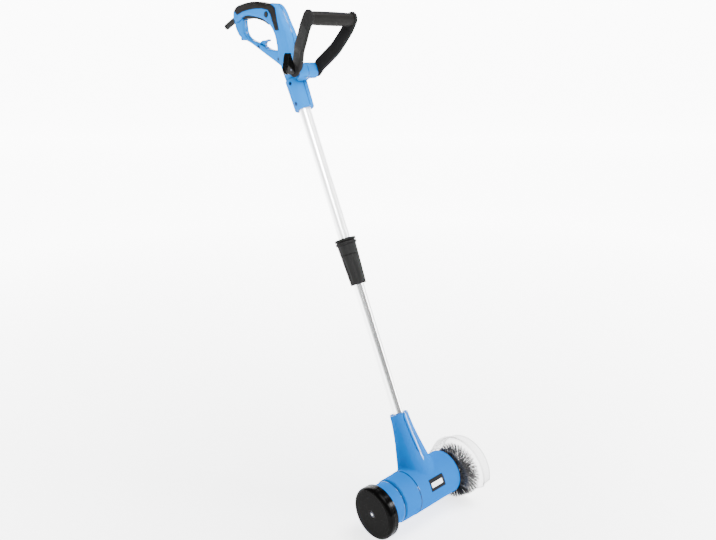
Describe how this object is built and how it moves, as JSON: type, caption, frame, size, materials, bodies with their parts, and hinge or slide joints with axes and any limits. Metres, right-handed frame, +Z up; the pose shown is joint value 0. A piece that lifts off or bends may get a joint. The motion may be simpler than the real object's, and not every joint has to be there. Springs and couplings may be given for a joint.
{
  "type": "electric weed brush",
  "caption": "Pole-mounted electric weed brush: grip with trigger and cord hook, swivelling front handle, telescopic tube, motor head with guide wheel, round brush and clear guard.",
  "frame": {"origin": "middle of the rear grip, in the casing's middle plane", "axes": "+X along the motor axis from the guide wheel to the brush, +Y towards the user, +Z up, with the pole leaning back as in use"},
  "size_m": [0.3084, 0.7944, 1.1291],
  "materials": {
    "blue_plastic": "glossy moulded",
    "soft_black": "soft matte",
    "black_plastic": "fine grained",
    "black_gloss": "glossy moulded",
    "inner_plastic": "plain",
    "tube_aluminium": "bright satin",
    "steel": "zinc plated",
    "copper": "enamelled wire",
    "carbon": "carbon block",
    "sintered_bronze": "sintered",
    "lead_black": "cord sheath",
    "bristle_dark": "stiff strands",
    "clear_guard": "clear plastic"
  },
  "bodies": {
    "handle": {"handle_shell_left": "blue_plastic", "handle_shell_right": "blue_plastic", "grip_overmould": "soft_black", "handle_screws": "steel", "cord_sleeve": "soft_black", "cord_clamp": "inner_plastic", "mains_switch": "inner_plastic", "capacitor": "black_plastic", "trigger_pin": "steel", "upper_tube": "tube_aluminium", "clamp_collar": "black_plastic", "clamp_collet": "inner_plastic", "coiled_lead": "lead_black"},
    "trigger": {"trigger": "black_plastic"},
    "lock_button": {"lock_button": "black_plastic"},
    "front_handle": {"front_handle_frame": "black_plastic", "front_grip_sleeve": "soft_black", "pivot_discs": "black_plastic", "pivot_bolt": "steel", "lever_washer": "steel", "pivot_nut": "steel"},
    "clamp_lever": {"clamp_lever": "black_gloss", "lever_pin": "steel"},
    "clamp_sleeve": {"clamp_sleeve": "black_plastic"},
    "lower_pole": {"lower_tube": "tube_aluminium", "tube_guide_bush": "inner_plastic", "lower_lead": "lead_black", "neck_screw": "steel", "motor_housing": "blue_plastic", "end_cap": "blue_plastic", "wheel_carrier": "blue_plastic", "housing_screws": "steel", "wheel_axle": "steel", "stator_core": "steel", "field_coils": "copper", "brush_holders": "inner_plastic", "carbon_brushes": "carbon", "motor_bearings": "steel", "gear_case": "tube_aluminium", "gearbox_cover": "black_plastic", "spindle_bearing": "steel", "brush_guard": "clear_guard", "guard_screws": "steel"},
    "armature": {"motor_shaft": "steel", "armature_core": "steel", "armature_windings": "copper", "commutator": "copper", "cooling_fan": "inner_plastic", "pinion": "steel"},
    "spindle": {"spindle": "steel", "ring_gear": "steel", "brush_hub": "black_plastic", "bristles": "bristle_dark", "brush_nut": "steel"},
    "wheel": {"wheel": "black_gloss", "wheel_bush": "sintered_bronze"}
  },
  "joints": [
    {"name": "telescope", "type": "slide", "parent": "handle", "child": "lower_pole", "axis": [0, 0.4352, 0.9003], "range_m": [-0.05, 0.2]},
    {"name": "clamp_twist", "type": "hinge", "parent": "handle", "child": "clamp_sleeve", "pos_m": [0, -0.36762, -0.60423], "axis": [0, 0.4352, 0.9003], "range_deg": [0, 60]},
    {"name": "trigger_pull", "type": "hinge", "parent": "handle", "child": "trigger", "pos_m": [0, 0.04127, -0.00884], "axis": [-1, 0, 0], "range_deg": [0, 4], "stiffness_Nm_per_rad": 2, "springref_deg": -6.88},
    {"name": "lock_press", "type": "slide", "parent": "handle", "child": "lock_button", "axis": [1, 0, 0], "range_m": [0, 0.0026], "stiffness_N_per_m": 600, "springref_m": -0.002},
    {"name": "front_handle_swivel", "type": "hinge", "parent": "handle", "child": "front_handle", "pos_m": [0, -0.18943, -0.13223], "axis": [1, 0, 0], "range_deg": [-50, 60]},
    {"name": "lever_open", "type": "hinge", "parent": "front_handle", "child": "clamp_lever", "pos_m": [-0.0496, -0.18943, -0.13223], "axis": [0, -1, 0], "range_deg": [0, 110]},
    {"name": "wheel_roll", "type": "hinge", "parent": "lower_pole", "child": "wheel", "pos_m": [-0.13, -0.57654, -1.03638], "axis": [1, 0, 0], "continuous": true},
    {"name": "spindle_spin", "type": "hinge", "parent": "lower_pole", "child": "spindle", "pos_m": [0.0885, -0.58023, -1.04403], "axis": [1, 0, 0], "continuous": true},
    {"name": "armature_spin", "type": "hinge", "parent": "lower_pole", "child": "armature", "pos_m": [-0.036, -0.57479, -1.03278], "axis": [1, 0, 0], "continuous": true}
  ],
  "couplings": [
    {"joint": "armature_spin", "follows": "spindle_spin", "ratio": 2.6667}
  ]
}
